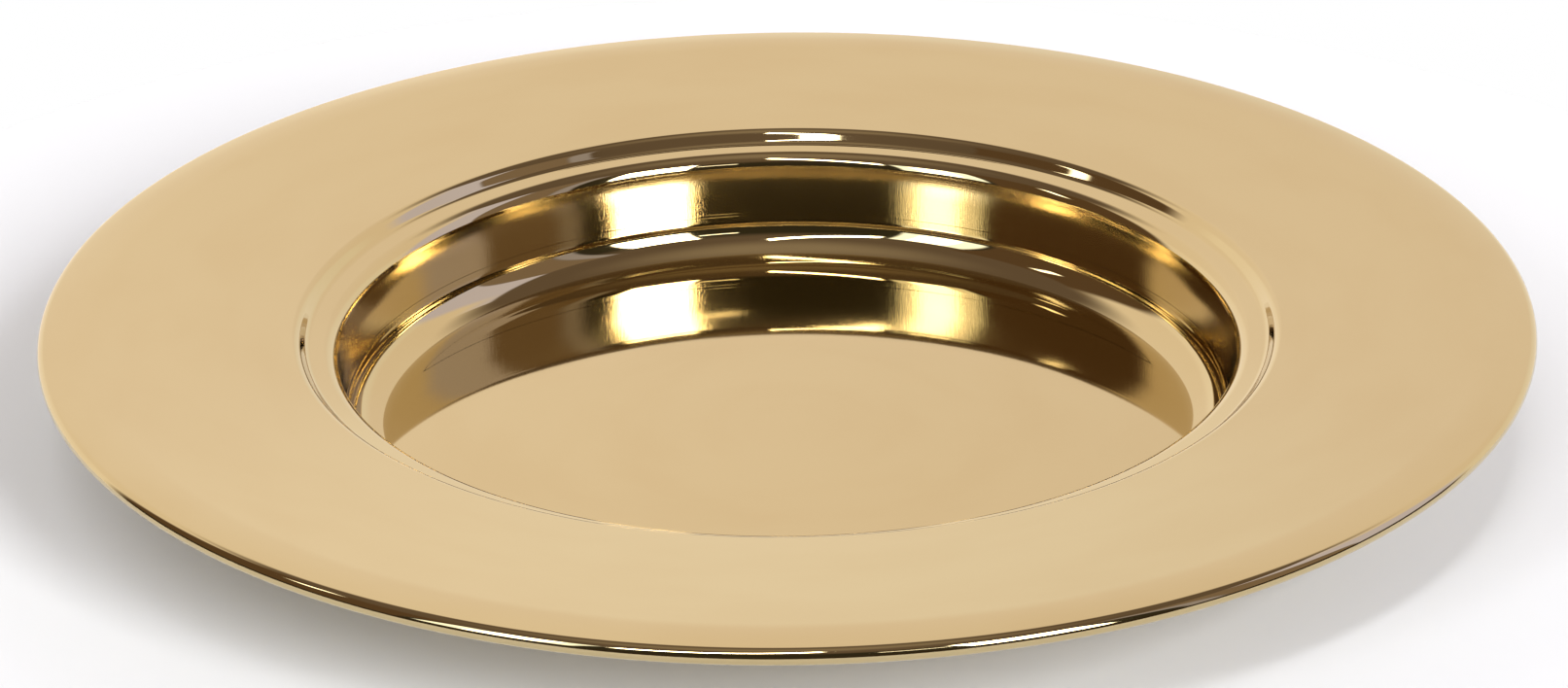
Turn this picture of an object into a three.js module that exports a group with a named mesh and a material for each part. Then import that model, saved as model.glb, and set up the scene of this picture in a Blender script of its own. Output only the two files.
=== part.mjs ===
// A wide-brimmed paten plate: a spun brass brim with a rolled, wired edge, and a flat dish let
// into the foot of its upright wall. Millimetres, +Z up.
// The origin is the centre of the underside that the plate stands on.

import * as THREE from 'three';

// Driving dimensions
const OUTER_RADIUS = 127;        // to the outside of the rolled edge
const HEIGHT = 25;               // from the underside to the highest ring of the brim
const SHEET = 0.7;               // thickness of the spun metal
const GAP = 0.3;                 // clearance between neighbouring pieces

// Brim
const BEAD_RADIUS = 1.45;        // outside radius of the rolled edge
const BEAD_TURN = 270;           // how far the edge is rolled round the wire, degrees
const EDGE_FALL = 4;             // slope of the brim where it meets the bead, falling outwards
const EDGE_CROWN = 48.6;         // crown radius of the band next to the bead
const BRIM_RISE = 4.9;           // slope of the rest of the brim, rising outwards
const BRIM_LIP = 84.3;           // radius at which the brim turns down into the step

// Step, and the narrow ledge inside it
const STEP_DROP = 2.2;           // height from the brim's lip to the ledge
const STEP_SLOPE = 53;           // steepest slope of the step
const STEP_HEAD_BEND = 1.9;      // bend radius at the head of the step
const STEP_FOOT_BEND = 1.4;      // bend radius at its foot
const LEDGE_WIDTH = 2.4;
const LEDGE_FALL = 8;            // slope of the ledge, falling inwards
const LEDGE_BEND = 2.7;          // bend radius from the ledge into the wall

// Well
const WALL_LEAN = 8;             // how far the head of the wall leans back from upright
const WALL_CROWN = 32;           // crown radius of the head of the wall
const WALL_FOOT = 17.2;          // depth of the wall's foot below the top of the plate
const DISH_COLLAR = 0.7;         // short upright at the head of the dish
const CORNER_BEND = 5.2;         // bend radius from the collar into the corner
const CORNER_SLOPE = 45;         // slope at which the corner opens out to the wider floor bend

// Fineness of the facets
const TURN_SEGMENTS = 64;        // round the plate's axis
const BEND_SEGMENT = 18;         // largest angle of one facet along a bend
const WIRE_SEGMENTS = 8;         // round the wire

const UP = 90;
const INWARDS = 180;
const DOWN = 270;
const radians = THREE.MathUtils.degToRad;
const cosine = (degrees) => Math.cos(radians(degrees));

// The show side of a spun sheet, drawn from the rim inwards, with the metal on its left.
class Outline {
  constructor(radius, height, heading) {
    this.at = new THREE.Vector2(radius, height);
    this.heading = heading;
    this.stations = [];
    this.mark();
  }

  ahead() {
    return new THREE.Vector2(Math.cos(radians(this.heading)), Math.sin(radians(this.heading)));
  }

  left() {
    return new THREE.Vector2(-Math.sin(radians(this.heading)), Math.cos(radians(this.heading)));
  }

  mark() {
    this.stations.push({ show: this.at.clone(), back: this.at.clone().addScaledVector(this.left(), SHEET) });
  }

  straight(length) {
    this.at.addScaledVector(this.ahead(), length);
    this.mark();
    return this;
  }

  straightToRadius(radius) {
    return this.straight((radius - this.at.x) / this.ahead().x);
  }

  straightToHeight(height) {
    return this.straight((height - this.at.y) / this.ahead().y);
  }

  // Turns to a new heading on a bend of the given radius: left is positive.
  bend(radius, heading) {
    const turn = heading - this.heading;
    const reach = Math.sign(turn) * radius;
    const centre = this.at.clone().addScaledVector(this.left(), reach);
    const segments = Math.ceil(Math.abs(turn) / BEND_SEGMENT);
    const start = this.heading;
    for (let i = 1; i <= segments; i += 1) {
      this.heading = start + (turn * i) / segments;
      this.at.copy(centre).addScaledVector(this.left(), -reach);
      this.mark();
    }
    return this;
  }

  // The sheet's section: outwards along the back, and inwards again along the show side.
  section() {
    const show = this.stations.map((station) => station.show);
    const back = this.stations.map((station) => station.back);
    return [...back.reverse(), ...show];
  }
}

// A solid of revolution about +Z, from a section that closes on itself or ends on the axis.
function turned(section) {
  return new THREE.LatheGeometry(section, TURN_SEGMENTS).rotateX(Math.PI / 2);
}

function piece(name, geometry, color, roughness) {
  const material = new THREE.MeshStandardMaterial({ color, roughness, metalness: 1 });
  const mesh = new THREE.Mesh(geometry, material);
  mesh.name = name;
  return mesh;
}

const beadCentre = new THREE.Vector2(
  OUTER_RADIUS - BEAD_RADIUS,
  HEIGHT - EDGE_CROWN + (EDGE_CROWN - BEAD_RADIUS) * cosine(EDGE_FALL),
);
const seamHeight = HEIGHT - WALL_FOOT;

// The rolled edge, the brim, the step, the ledge and the upright wall, down to the bevelled seam.
function brimOutline() {
  const edgeHeading = INWARDS - EDGE_FALL;
  const rollStart = radians(edgeHeading - BEAD_TURN);
  const startRadius = beadCentre.x + BEAD_RADIUS * Math.sin(rollStart);
  const startHeight = beadCentre.y - BEAD_RADIUS * Math.cos(rollStart);
  const headDrop = STEP_HEAD_BEND * (cosine(BRIM_RISE) - cosine(STEP_SLOPE));
  const footDrop = STEP_FOOT_BEND * (cosine(LEDGE_FALL) - cosine(STEP_SLOPE));
  const riser = (STEP_DROP - headDrop - footDrop) / Math.sin(radians(STEP_SLOPE));
  return new Outline(startRadius, startHeight, edgeHeading - BEAD_TURN)
    .bend(BEAD_RADIUS, UP)
    .bend(BEAD_RADIUS, edgeHeading)
    .bend(EDGE_CROWN, INWARDS)
    .bend(EDGE_CROWN, INWARDS + BRIM_RISE)
    .straightToRadius(BRIM_LIP)
    .bend(STEP_HEAD_BEND, INWARDS + STEP_SLOPE)
    .straight(riser)
    .bend(STEP_FOOT_BEND, INWARDS + LEDGE_FALL)
    .straight(LEDGE_WIDTH)
    .bend(LEDGE_BEND, DOWN - WALL_LEAN)
    .bend(WALL_CROWN, DOWN)
    .straightToHeight(seamHeight);
}

// The brim's lower edge is bevelled, and the dish's upper edge is bevelled to stand behind it.
function brimPlate(outline) {
  outline.stations.at(-1).back.y += SHEET;
  const section = outline.section();
  return turned([...section, section[0].clone()]);
}

// The collar, the rounded corner and the flat floor.
function wellDish(wallRadius) {
  const outline = new Outline(wallRadius, seamHeight - GAP * Math.SQRT2, DOWN);
  outline.stations[0].back.y += SHEET;
  outline.straight(DISH_COLLAR).bend(CORNER_BEND, INWARDS + CORNER_SLOPE);
  const floorBend = (outline.at.y - SHEET) / (1 - cosine(CORNER_SLOPE));
  outline.bend(floorBend, INWARDS).straightToRadius(0);
  return turned(outline.section());
}

// The stiffening wire that the edge is rolled round.
function rimWire() {
  const wireRadius = BEAD_RADIUS - SHEET - GAP;
  return new THREE.TorusGeometry(beadCentre.x, wireRadius, WIRE_SEGMENTS, TURN_SEGMENTS)
    .translate(0, 0, beadCentre.y);
}

const brim = brimOutline();
const wallRadius = brim.at.x;

const paten = new THREE.Group();
paten.add(piece('brim_plate', brimPlate(brim), 0xd9bd85, 0.12));
paten.add(piece('well_dish', wellDish(wallRadius), 0xd4b67c, 0.12));
paten.add(piece('rim_wire', rimWire(), 0x8c7a55, 0.5));

export default paten;
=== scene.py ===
import math

import bmesh
import bpy
from mathutils import Matrix, Vector


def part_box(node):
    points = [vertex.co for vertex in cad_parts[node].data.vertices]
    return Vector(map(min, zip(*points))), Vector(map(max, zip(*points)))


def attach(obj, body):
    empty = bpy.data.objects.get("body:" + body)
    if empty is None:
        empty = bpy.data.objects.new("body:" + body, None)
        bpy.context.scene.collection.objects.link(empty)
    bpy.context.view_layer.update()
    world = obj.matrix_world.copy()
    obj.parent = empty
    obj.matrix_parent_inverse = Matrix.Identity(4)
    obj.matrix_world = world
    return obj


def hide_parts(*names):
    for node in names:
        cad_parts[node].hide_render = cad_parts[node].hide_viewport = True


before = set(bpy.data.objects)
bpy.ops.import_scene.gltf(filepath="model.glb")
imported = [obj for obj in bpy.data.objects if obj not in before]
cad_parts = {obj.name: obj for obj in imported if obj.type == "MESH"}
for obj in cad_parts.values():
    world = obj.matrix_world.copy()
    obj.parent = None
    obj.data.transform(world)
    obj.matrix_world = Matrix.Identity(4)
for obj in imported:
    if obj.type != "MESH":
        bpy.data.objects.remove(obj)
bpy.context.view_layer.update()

# The plate's dimensions, in metres, and its slopes, in degrees
MM = 0.001
SHEET = 0.7 * MM
BEAD_RADIUS = 1.45 * MM        # outside radius of the rolled edge
BEAD_TURN = 270
EDGE_FALL = 4
EDGE_CROWN = 48.6 * MM
BRIM_RISE = 4.9
BRIM_LIP = 84.3 * MM           # radius at which the brim turns down into the step
STEP_DROP = 2.2 * MM
STEP_SLOPE = 53
STEP_HEAD_BEND = 1.9 * MM
STEP_FOOT_BEND = 1.4 * MM
LEDGE_WIDTH = 2.4 * MM
LEDGE_FALL = 8
LEDGE_BEND = 2.7 * MM
WALL_LEAN = 8
WALL_CROWN = 32 * MM
DISH_COLLAR = 0.7 * MM
CORNER_BEND = 5.2 * MM
CORNER_SLOPE = 45

# The tool's fine rings, and the hairline seam between the wall and the dish
RIDGE_BEND = 0.38 * MM
RIDGE_TILT = 6
SEAM_GAP = 0.08 * MM

# Fineness of the spun surfaces
SPIN_STEPS = 320
BEND_STEP = 3                  # degrees of one facet along a tight bend
CROWN_STEP = 0.7               # degrees of one facet along a shallow crown
END_LENGTH = 0.15 * MM         # short lengths that keep a bend's shading off the flat beside it
SHARP = 40                     # an edge turning more than this is a real arris
WIRE_SEGMENTS = 20             # round the wire
MERGE_DISTANCE = 1e-7          # vertices of the first and last step of a spin
SEAM_REACH = 1e-6              # how near the seam's height a vertex has to be

UP = 90
INWARDS = 180
DOWN = 270

rim_low, rim_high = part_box("brim_plate")
wire_low, wire_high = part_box("rim_wire")
outer_radius = rim_high.x
top = rim_high.z
wall_foot = rim_low.z


def cosine(degrees):
    return math.cos(math.radians(degrees))


def sine(degrees):
    return math.sin(math.radians(degrees))


# ---------------------------------------------------------------- spun pieces


class Section:
    """A spun sheet's show side, drawn in the XZ plane from the rim inwards. Heading 90 is up."""

    def __init__(self, radius, height, heading):
        self.bm = bmesh.new()
        self.tip = self.bm.verts.new((radius, 0, height))
        self.heading = heading

    def ahead(self):
        return Vector((cosine(self.heading), 0, sine(self.heading)))

    def left(self):
        return Vector((-sine(self.heading), 0, cosine(self.heading)))

    def straight(self, length):
        end = min(END_LENGTH, length / 3)
        for part in (end, length - 2 * end, end):
            drawn = bmesh.ops.extrude_vert_indiv(self.bm, verts=[self.tip])
            self.tip = drawn["verts"][0]
            bmesh.ops.translate(self.bm, verts=[self.tip], vec=self.ahead() * part)
        return self

    def straight_to_radius(self, radius):
        return self.straight((radius - self.tip.co.x) / cosine(self.heading))

    def straight_to_height(self, height):
        return self.straight((height - self.tip.co.z) / sine(self.heading))

    def bend(self, radius, heading, step=BEND_STEP):
        """Turns to a new heading on a bend of the given radius."""
        turn = heading - self.heading
        centre = self.tip.co + self.left() * math.copysign(radius, turn)
        drawn = bmesh.ops.spin(
            self.bm,
            geom=[self.tip],
            cent=centre,
            axis=(0, -1, 0),
            angle=math.radians(turn),
            steps=math.ceil(abs(turn) / step),
        )
        self.tip = next(v for v in drawn["geom_last"] if isinstance(v, bmesh.types.BMVert))
        self.heading = heading
        return self

    def ridges(self, count):
        """Fine parallel rings, as the spinning tool leaves them."""
        start = self.heading
        for _ in range(count):
            self.bend(RIDGE_BEND, start + RIDGE_TILT, RIDGE_TILT / 2)
            self.bend(RIDGE_BEND, start - RIDGE_TILT, RIDGE_TILT)
            self.bend(RIDGE_BEND, start, RIDGE_TILT / 2)
        return self


def spin_round(bm):
    """Turns a section once round the plate's axis."""
    bmesh.ops.spin(
        bm,
        geom=bm.verts[:] + bm.edges[:],
        cent=(0, 0, 0),
        axis=(0, 0, 1),
        angle=2 * math.pi,
        steps=SPIN_STEPS,
        use_merge=True,
    )
    bmesh.ops.remove_doubles(bm, verts=bm.verts, dist=MERGE_DISTANCE)
    bmesh.ops.recalc_face_normals(bm, faces=bm.faces)


def face_up(bm):
    """Turns an open sheet so that its level faces look up, which is its show side."""
    flattest = max(bm.faces, key=lambda face: abs(face.normal.z) * face.calc_area())
    if flattest.normal.z < 0:
        bmesh.ops.reverse_faces(bm, faces=bm.faces)
        bm.normal_update()


def spun_sheet(section):
    """A sheet of even thickness, spun from the section of its show side."""
    bm = section.bm
    spin_round(bm)
    face_up(bm)
    bmesh.ops.solidify(bm, geom=bm.faces[:], thickness=SHEET)
    return bm


def bevel_seam(bm, height):
    """Slants a sheet's seam edge, so that the dish stands a little behind the wall."""
    ring = [v for v in bm.verts if abs(v.co.z - height) < SEAM_REACH]
    behind = [v for v in ring if v.co.xy.length > wall_radius + SHEET / 2]
    bmesh.ops.translate(bm, verts=behind, vec=(0, 0, SHEET))


def shown(bm, name, material, slot, *nodes):
    """Makes the finished mesh an object that rides with the plate and stands for its CAD nodes."""
    for face in bm.faces:
        face.smooth = True
    for edge in bm.edges:
        edge.smooth = edge.calc_face_angle(0) < math.radians(SHARP)
    mesh = bpy.data.meshes.new(name)
    bm.to_mesh(mesh)
    bm.free()
    mesh.materials.append(material)
    piece = bpy.data.objects.new(name, mesh)
    bpy.context.scene.collection.objects.link(piece)
    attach(piece, "root")
    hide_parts(*nodes)
    return piece


# The rolled edge, the brim, the step, the ledge and the upright wall
edge_heading = INWARDS - EDGE_FALL
bead_heading = edge_heading - BEAD_TURN
bead_x = outer_radius - BEAD_RADIUS
bead_z = top - EDGE_CROWN + (EDGE_CROWN - BEAD_RADIUS) * cosine(EDGE_FALL)
head_drop = STEP_HEAD_BEND * (cosine(BRIM_RISE) - cosine(STEP_SLOPE))
foot_drop = STEP_FOOT_BEND * (cosine(LEDGE_FALL) - cosine(STEP_SLOPE))
riser = (STEP_DROP - head_drop - foot_drop) / sine(STEP_SLOPE)

brim = Section(
    bead_x + BEAD_RADIUS * sine(bead_heading),
    bead_z - BEAD_RADIUS * cosine(bead_heading),
    bead_heading,
)
brim.bend(BEAD_RADIUS, UP, 9)
brim.bend(BEAD_RADIUS, edge_heading, 6)
brim.bend(EDGE_CROWN, INWARDS, CROWN_STEP)
brim.bend(EDGE_CROWN, INWARDS + BRIM_RISE, CROWN_STEP)
brim.straight_to_radius(BRIM_LIP)
brim.bend(STEP_HEAD_BEND, INWARDS + STEP_SLOPE)
brim.straight(riser)
brim.bend(STEP_FOOT_BEND, INWARDS + LEDGE_FALL)
brim.straight(LEDGE_WIDTH)
brim.bend(LEDGE_BEND, DOWN - WALL_LEAN)
brim.ridges(2)
brim.bend(WALL_CROWN, DOWN, CROWN_STEP)
brim.straight_to_height(wall_foot + 0.5 * MM)
brim.ridges(1)
brim.straight_to_height(wall_foot)
wall_radius = brim.tip.co.x

brim_mesh = spun_sheet(brim)
bevel_seam(brim_mesh, wall_foot)

# The collar, the rounded corner and the flat floor
dish = Section(wall_radius, wall_foot - SEAM_GAP, DOWN)
dish.ridges(1)
dish.straight(DISH_COLLAR)
dish.bend(CORNER_BEND, INWARDS + CORNER_SLOPE, 2)
floor_bend = (dish.tip.co.z - SHEET) / (1 - cosine(CORNER_SLOPE))
dish.bend(floor_bend, INWARDS, 1.5)
dish.straight_to_radius(0)

dish_mesh = spun_sheet(dish)
bevel_seam(dish_mesh, wall_foot - SEAM_GAP)

# The wire inside the rolled edge
wire_radius = (wire_high.z - wire_low.z) / 2
wire_mesh = bmesh.new()
bmesh.ops.create_circle(
    wire_mesh,
    segments=WIRE_SEGMENTS,
    radius=wire_radius,
    matrix=Matrix.Translation((wire_high.x - wire_radius, 0, (wire_low.z + wire_high.z) / 2))
    @ Matrix.Rotation(math.pi / 2, 4, "X"),
)
spin_round(wire_mesh)


# ---------------------------------------------------------------- finishes


class Value:
    """A socket that gives numbers or colours. Arithmetic on it adds the Math nodes."""

    def __init__(self, shader, socket):
        self.shader = shader
        self.socket = socket

    def output(self, name):
        """Another output of the same node."""
        return Value(self.shader, self.socket.node.outputs[name])

    def math(self, operation, *others):
        return self.shader.node("ShaderNodeMath", {"operation": operation}, dict(enumerate((self, *others))))

    def __add__(self, other):
        return self.math("ADD", other)

    def __sub__(self, other):
        return self.math("SUBTRACT", other)

    def __mul__(self, other):
        return self.math("MULTIPLY", other)

    def __truediv__(self, other):
        return self.math("DIVIDE", other)

    def __pow__(self, other):
        return self.math("POWER", other)

    __radd__ = __add__
    __rmul__ = __mul__

    def rise(self, low, high):
        """0 below low and 1 above high, or the other way round where low is the greater."""
        return self.shader.node(
            "ShaderNodeMapRange",
            {"interpolation_type": "SMOOTHSTEP"},
            {"Value": self, "From Min": low, "From Max": high},
        )

    def between(self, low, high, soft):
        return self.rise(low - soft, low + soft) * self.rise(high + soft, high - soft)


class Shader:
    """One material's or world's nodes."""

    def __init__(self, owner):
        owner.use_nodes = True
        self.tree = owner.node_tree
        self.tree.nodes.clear()

    def node(self, kind, settings, sockets, output=0):
        made = self.tree.nodes.new(kind)
        for name, setting in settings.items():
            setattr(made, name, setting)
        for name, value in sockets.items():
            if isinstance(value, Value):
                self.tree.links.new(value.socket, made.inputs[name])
            else:
                made.inputs[name].default_value = value
        return Value(self, made.outputs[output]) if made.outputs else None

    def mix(self, share, first, second):
        """A colour that goes from first to second."""
        colours = [(*c, 1) if isinstance(c, tuple) else c for c in (first, second)]
        return self.node("ShaderNodeMix", {"data_type": "RGBA"}, {0: share, 6: colours[0], 7: colours[1]}, 2)

    def vector(self, x, y, z):
        return self.node("ShaderNodeCombineXYZ", {}, {0: x, 1: y, 2: z})

    def noise(self, vector, scale, detail=3, roughness=0.5):
        return self.node(
            "ShaderNodeTexNoise",
            {},
            {"Vector": vector, "Scale": scale, "Detail": detail, "Roughness": roughness},
        )

    def bump(self, height, distance, strength=1.0, under=None):
        sockets = {"Height": height, "Distance": distance, "Strength": strength}
        if under:
            sockets["Normal"] = under
        return self.node("ShaderNodeBump", {}, sockets)


BRASS = (0.555, 0.443, 0.24)
BRASS_DEEP = (0.542, 0.426, 0.225)
WIRE_BRASS = (0.42, 0.31, 0.16)
WIRE_BRASS_DARK = (0.34, 0.24, 0.12)


def spun_brass(name, grain_foot, grain_head):
    """Mirror-polished brass with faint tool rings, and a brushed grain between two heights."""
    material = bpy.data.materials.new(name)
    shader = Shader(material)
    place = shader.node("ShaderNodeTexCoord", {}, {}, "Object")
    x = shader.node("ShaderNodeSeparateXYZ", {}, {0: place}, "X")
    y = x.output("Y")
    z = x.output("Z")
    radius = (x * x + y * y) ** 0.5
    across = x / radius
    along = y / radius
    outwards = radius + z
    grained = z.between(grain_foot, grain_head, 0.3 * MM)
    matter = z.rise(grain_foot + 1 * MM, grain_head)

    # Round the axis the rings run on unbroken, and across them they are close together.
    rings = shader.noise(shader.vector(x * 12, y * 12, outwards * 900), 1.0, 4, 0.6)
    hollows = shader.noise(place, 14.0, 1)
    smears = shader.noise(shader.vector(x * 30, y * 30, outwards * 60), 1.0, 3)
    strokes = shader.noise(shader.vector(across * 260, along * 260, z * 300), 1.0, 3, 0.65)
    lines = shader.noise(shader.vector(across * 5, along * 5, z * 5200), 1.0, 3, 0.6)
    grit = shader.noise(place, 2600.0, 2)

    colour = shader.mix(smears.rise(0.35, 0.75), BRASS, BRASS_DEEP)
    roughness = 0.03 + smears * 0.015 + grained * (0.02 + 0.05 * strokes + 0.05 * matter)
    wavy = shader.bump(hollows, 0.25 * MM)
    turned = shader.bump(rings, 0.0006 * MM, 1.0, wavy)
    brushed = shader.bump((strokes * 2 + lines + grit * 0.7) * grained, 0.004 * MM, 1.0, turned)
    surface = shader.node(
        "ShaderNodeBsdfPrincipled",
        {},
        {"Base Color": colour, "Metallic": 1.0, "Roughness": roughness, "Normal": brushed},
    )
    shader.node("ShaderNodeOutputMaterial", {}, {"Surface": surface})
    return material


def drawn_wire(name):
    """Dull drawn wire, with fine spots in its tone, roughness and bumps."""
    material = bpy.data.materials.new(name)
    shader = Shader(material)
    place = shader.node("ShaderNodeTexCoord", {}, {}, "Object")
    spots = shader.noise(place, 900.0, 4)
    colour = shader.mix(spots, WIRE_BRASS, WIRE_BRASS_DARK)
    surface = shader.node(
        "ShaderNodeBsdfPrincipled",
        {},
        {
            "Base Color": colour,
            "Metallic": 1.0,
            "Roughness": 0.3 + spots * 0.2,
            "Normal": shader.bump(spots, 0.01 * MM),
        },
    )
    shader.node("ShaderNodeOutputMaterial", {}, {"Surface": surface})
    return material


wall_head = top - 8.2 * MM
brim_brass = spun_brass("polished_brim_brass", wall_foot, wall_head)
dish_brass = spun_brass("polished_dish_brass", wall_foot - 1.2 * MM, wall_head)

shown(brim_mesh, "brim_and_wall", brim_brass, "polished_brass", "brim_plate")
shown(dish_mesh, "corner_and_floor", dish_brass, "burnished_brass", "well_dish")
shown(wire_mesh, "edge_wire", drawn_wire("drawn_wire_brass"), "wire_brass", "rim_wire")


# ---------------------------------------------------------------- studio

SWEEP_LEFT = (1.24, 1.12, 1.03)
SWEEP_RIGHT = (1.15, 1.03, 0.94)
SWEEP_LOW_LEFT = (1.33, 1.23, 1.14)
SWEEP_LOW_RIGHT = (1.18, 1.11, 1.03)
DIM_ROOM = (0.05, 0.043, 0.028)
CEILING_LOW = (0.20, 0.15, 0.12)
CEILING_HIGH = (0.40, 0.33, 0.27)
PALE_WALL = (0.88, 0.88, 1.30)
BROWN_DOOR = (0.33, 0.25, 0.20)
DOOR_FRAME = (0.50, 0.48, 0.62)
BROWN_WALL = (0.16, 0.10, 0.058)
DARK_GROUND = (0.06, 0.043, 0.028)
SOFT_BOX = (24.0, 24.0, 24.0)
VEILED_BOX = (2.4, 2.6, 2.8)
VEILED_CORE = (11.0, 11.0, 11.0)
SIDE_LAMP = (5.0, 5.0, 5.0)
THIN_LIGHT = (6.0, 6.0, 6.0)
PALE = (1.0, 1.0, 1.0)
FLOOR_WHITE = (0.77, 0.79, 0.82)
FLOOR_RADIUS = 0.21
OVERHEAD_SLANT = 0.72          # the overhead light sinks towards the left by this share of its azimuth


def studio():
    """What the metal mirrors: a white sweep behind the plate, and a dim room with soft boxes in front."""
    world = bpy.data.worlds.new("studio")
    bpy.context.scene.world = world
    shader = Shader(world)
    direction = shader.node("ShaderNodeTexCoord", {}, {}, "Generated")
    x = shader.node("ShaderNodeSeparateXYZ", {}, {0: direction}, "X")
    degrees = 180 / math.pi
    azimuth = x.math("ARCTAN2", x.output("Y") * -1) * degrees      # 0 in front, rising to the right
    height = x.output("Z").math("ARCSINE") * degrees

    def patch(left, right, low, high, soft=1.0):
        return azimuth.between(left, right, soft) * height.between(low, high, soft)

    room = shader.mix(height.rise(30, 50), DIM_ROOM, CEILING_LOW)
    room = shader.mix(height.rise(60, 85), room, CEILING_HIGH)
    room = shader.mix(patch(87, 125, -3, 50), room, PALE_WALL)
    room = shader.mix(patch(63, 87, -3, 50), room, BROWN_DOOR)
    room = shader.mix(patch(57, 63, -3, 50), room, DOOR_FRAME)
    room = shader.mix(patch(-125, -56, -3, 50), room, BROWN_WALL)
    room = shader.mix(height.rise(1, -1), room, DARK_GROUND)
    rightwards = x.rise(-0.1, 0.1)
    sweep = shader.mix(rightwards, SWEEP_LEFT, SWEEP_RIGHT)
    low_sweep = shader.mix(rightwards, SWEEP_LOW_LEFT, SWEEP_LOW_RIGHT)
    sweep = shader.mix(height.rise(23, 17), sweep, low_sweep)
    room = shader.mix(azimuth.math("ABSOLUTE").rise(108, 116) * height.rise(52, 40), room, sweep)
    for edges, light in (
        ((26, 46.5, 13, 41), SOFT_BOX),
        ((-54, -31, 11, 41), VEILED_BOX),
        ((-47, -36, 13, 39), VEILED_CORE),
        ((-87, -82, 36, 45), SIDE_LAMP),
    ):
        room = shader.mix(patch(*edges), room, light)
    room = shader.mix(patch(13, 24, 28, 30, 0.3), room, THIN_LIGHT)
    slant = height - azimuth * OVERHEAD_SLANT
    overhead = azimuth.between(-28, 6.5, 1) * slant.between(55.5, 62.5, 1)
    room = shader.mix(overhead, room, SOFT_BOX)
    seen = shader.node("ShaderNodeLightPath", {}, {}, "Is Camera Ray")
    light = shader.node("ShaderNodeBackground", {}, {"Color": shader.mix(seen, room, PALE)})
    shader.node("ShaderNodeOutputWorld", {}, {"Surface": light})


def floor():
    """A plain pale table top, which is clear from underneath."""
    bm = bmesh.new()
    bmesh.ops.create_circle(bm, cap_ends=True, segments=128, radius=FLOOR_RADIUS)
    mesh = bpy.data.meshes.new("studio_floor")
    bm.to_mesh(mesh)
    bm.free()
    material = bpy.data.materials.new("pale_floor")
    shader = Shader(material)
    pale = shader.node("ShaderNodeBsdfDiffuse", {}, {"Color": (*FLOOR_WHITE, 1)})
    clear = shader.node("ShaderNodeBsdfTransparent", {}, {})
    below = shader.node("ShaderNodeNewGeometry", {}, {}, "Backfacing")
    surface = shader.node("ShaderNodeMixShader", {}, {0: below, 1: pale, 2: clear})
    shader.node("ShaderNodeOutputMaterial", {}, {"Surface": surface})
    mesh.materials.append(material)
    ground = bpy.data.objects.new("studio_floor", mesh)
    bpy.context.scene.collection.objects.link(ground)


CAMERA_ELEVATION = 24.2
CAMERA_DISTANCE = 0.841        # metres, to the centre of the plate's top
CAMERA_PAN = 0.0005            # radians, as are the next two
CAMERA_TILT = -0.0094
CAMERA_ROLL = 0.0108
LENS = 113.1


def camera():
    """Looks down at the plate's rim from the front with a long lens."""
    away = Vector((0, -cosine(CAMERA_ELEVATION), sine(CAMERA_ELEVATION)))
    ahead = -away
    right = Vector((1, 0, 0))
    up = right.cross(ahead)
    for axis, angle in ((up, CAMERA_PAN), (right, CAMERA_TILT), (ahead, CAMERA_ROLL)):
        turn = Matrix.Rotation(angle, 3, axis)
        ahead, right, up = turn @ ahead, turn @ right, turn @ up
    data = bpy.data.cameras.new("long_lens")
    data.sensor_width = 36
    data.lens = LENS
    data.clip_start = 0.01
    shot = bpy.data.objects.new("long_lens", data)
    place = Matrix((right, up, -ahead)).transposed().to_4x4()
    place.translation = away * CAMERA_DISTANCE + Vector((0, 0, top))
    shot.matrix_world = place
    bpy.context.scene.collection.objects.link(shot)
    bpy.context.scene.camera = shot


studio()
floor()
camera()
bpy.context.scene.view_settings.view_transform = "Standard"
